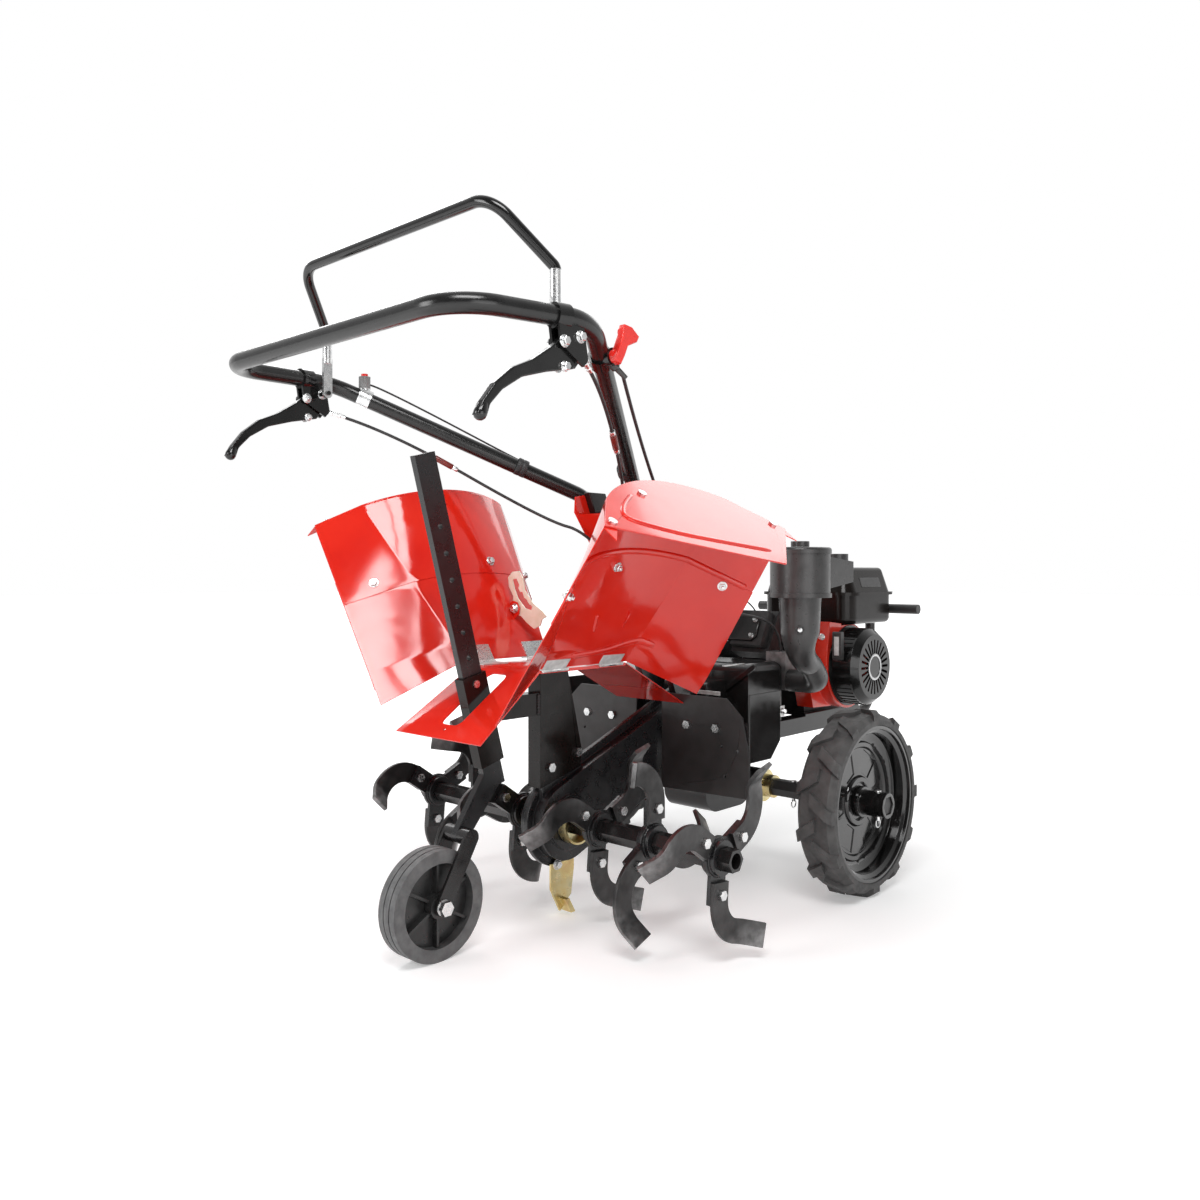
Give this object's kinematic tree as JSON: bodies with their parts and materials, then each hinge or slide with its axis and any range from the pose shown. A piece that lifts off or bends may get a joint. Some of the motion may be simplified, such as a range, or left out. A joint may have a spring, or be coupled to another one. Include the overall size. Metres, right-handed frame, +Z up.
{
  "type": "rear-tine garden tiller",
  "caption": "Walk-behind garden tiller with a small engine over drive wheels, a rear tine rotor under folding wings, a looped handlebar and a depth wheel.",
  "frame": {"origin": "on the ground under the middle of the overall box", "axes": "+X to the machine's right, +Y forward along the travel direction, +Z up"},
  "size_m": [0.9732, 1.679, 1.2925],
  "materials": {
    "red_paint": "gloss",
    "black_paint": "gloss",
    "satin_black": "satin",
    "tine_steel": "satin",
    "zinc": "satin",
    "yellow_zinc": "satin",
    "engine_metal": "satin",
    "steel": "satin",
    "black_plastic": "satin",
    "gloss_plastic": "gloss",
    "red_plastic": "gloss",
    "grey_plastic": "matte",
    "rubber": "matte",
    "tyre": "matte"
  },
  "bodies": {
    "chassis": {"engine_frame": "black_paint", "front_bumper": "satin_black", "gearbox_housing": "black_paint", "chain_case": "black_paint", "guard_plates": "black_paint", "centre_cover": "red_paint", "rear_post": "black_paint", "centre_blade": "yellow_zinc", "handle_bracket": "red_paint", "frame_bolts": "zinc", "belt_cover": "black_paint", "drive_belt": "rubber", "drive_chain": "steel", "hinge_leaves": "zinc", "handlebar": "black_paint", "control_clamps": "black_plastic", "stop_switch": "grey_plastic", "control_cables": "rubber", "engine_block": "engine_metal", "cylinder_head": "engine_metal", "fan_housing": "red_paint", "recoil_cover": "gloss_plastic", "fuel_tank": "black_paint", "carburettor": "engine_metal", "air_cleaner": "black_plastic", "air_cleaner_cap": "black_plastic", "muffler": "steel"},
    "wheels": {"hex_axle": "satin_black", "axle_flanges": "yellow_zinc", "rim_right": "black_paint", "rim_left": "black_paint", "tyre_right": "tyre", "tyre_left": "tyre", "wheel_pins": "zinc"},
    "rotor": {"rotor_shaft": "black_paint", "tine_hubs": "black_paint", "tines": "tine_steel", "tine_bolts": "zinc", "rotor_collars": "yellow_zinc"},
    "input": {"input_shaft": "steel", "input_pulley": "steel"},
    "crank": {"crankshaft": "steel", "flywheel": "engine_metal", "crank_pulley": "steel"},
    "wing_right": {"wing_right": "red_paint", "end_plate_right": "red_paint", "wing_hardware_right": "zinc"},
    "wing_left": {"wing_left": "red_paint", "end_plate_left": "red_paint", "wing_hardware_left": "zinc"},
    "bail": {"bail": "black_paint"},
    "lever_right": {"lever_right": "gloss_plastic"},
    "lever_left": {"lever_left": "gloss_plastic"},
    "throttle": {"throttle_lever": "red_plastic"},
    "stop_button": {"stop_button": "red_plastic"},
    "depth": {"depth_bar": "black_paint", "depth_fork": "black_paint"},
    "depth_wheel": {"depth_wheel": "rubber"},
    "starter": {"starter_grip": "black_plastic"},
    "fuel_cap": {"fuel_cap": "black_plastic"}
  },
  "joints": [
    {"name": "wheel_spin", "type": "hinge", "parent": "chassis", "child": "wheels", "pos_m": [-0.00939, 0.2665, 0.2], "axis": [1, 0, 0], "continuous": true},
    {"name": "rotor_spin", "type": "hinge", "parent": "chassis", "child": "rotor", "pos_m": [-0.00939, -0.2785, 0.195], "axis": [1, 0, 0], "continuous": true},
    {"name": "input_spin", "type": "hinge", "parent": "chassis", "child": "input", "pos_m": [-0.00939, 0.2065, 0.38], "axis": [1, 0, 0], "continuous": true},
    {"name": "crank_spin", "type": "hinge", "parent": "chassis", "child": "crank", "pos_m": [-0.00939, 0.5865, 0.462], "axis": [1, 0, 0], "continuous": true},
    {"name": "wing_right_fold", "type": "hinge", "parent": "chassis", "child": "wing_right", "pos_m": [0.09561, -0.3135, 0.516], "axis": [0, 1, 0], "range_deg": [0, 52]},
    {"name": "wing_left_fold", "type": "hinge", "parent": "chassis", "child": "wing_left", "pos_m": [-0.11439, -0.3135, 0.516], "axis": [0, -1, 0], "range_deg": [0, 57]},
    {"name": "bail_pull", "type": "hinge", "parent": "chassis", "child": "bail", "pos_m": [-0.00939, -0.6115, 1.062], "axis": [1, 0, 0], "range_deg": [0, 52], "stiffness_Nm_per_rad": 6, "springref_deg": -28.65},
    {"name": "lever_right_pull", "type": "hinge", "parent": "chassis", "child": "lever_right", "pos_m": [0.35861, -0.6265, 1.052], "axis": [-1, 0, 0], "range_deg": [0, 25], "stiffness_Nm_per_rad": 2, "springref_deg": -17.19},
    {"name": "lever_left_pull", "type": "hinge", "parent": "chassis", "child": "lever_left", "pos_m": [-0.37739, -0.6265, 1.052], "axis": [-1, 0, 0], "range_deg": [0, 25], "stiffness_Nm_per_rad": 2, "springref_deg": -17.19},
    {"name": "throttle_turn", "type": "hinge", "parent": "chassis", "child": "throttle", "pos_m": [0.31459, -0.50047, 1.05373], "axis": [1, 0, 0], "range_deg": [-30, 30]},
    {"name": "stop_press", "type": "slide", "parent": "chassis", "child": "stop_button", "axis": [0, 0, -1], "range_m": [0, 0.003], "stiffness_N_per_m": 800, "springref_m": -0.001},
    {"name": "depth_slide", "type": "slide", "parent": "chassis", "child": "depth", "axis": [0, -0.2622, 0.965], "range_m": [-0.303, 0]},
    {"name": "depth_wheel_spin", "type": "hinge", "parent": "depth", "child": "depth_wheel", "pos_m": [-0.00939, -0.6005, 0.1], "axis": [1, 0, 0], "continuous": true},
    {"name": "starter_pull", "type": "slide", "parent": "chassis", "child": "starter", "axis": [0, -1, 0], "range_m": [0, 0.06], "stiffness_N_per_m": 60, "springref_m": -0.02},
    {"name": "fuel_cap_turn", "type": "hinge", "parent": "chassis", "child": "fuel_cap", "pos_m": [0.09061, 0.6625, 0.73], "axis": [0, 0, 1], "range_deg": [0, 90]}
  ],
  "couplings": [
    {"joint": "input_spin", "follows": "rotor_spin", "ratio": 1}
  ]
}
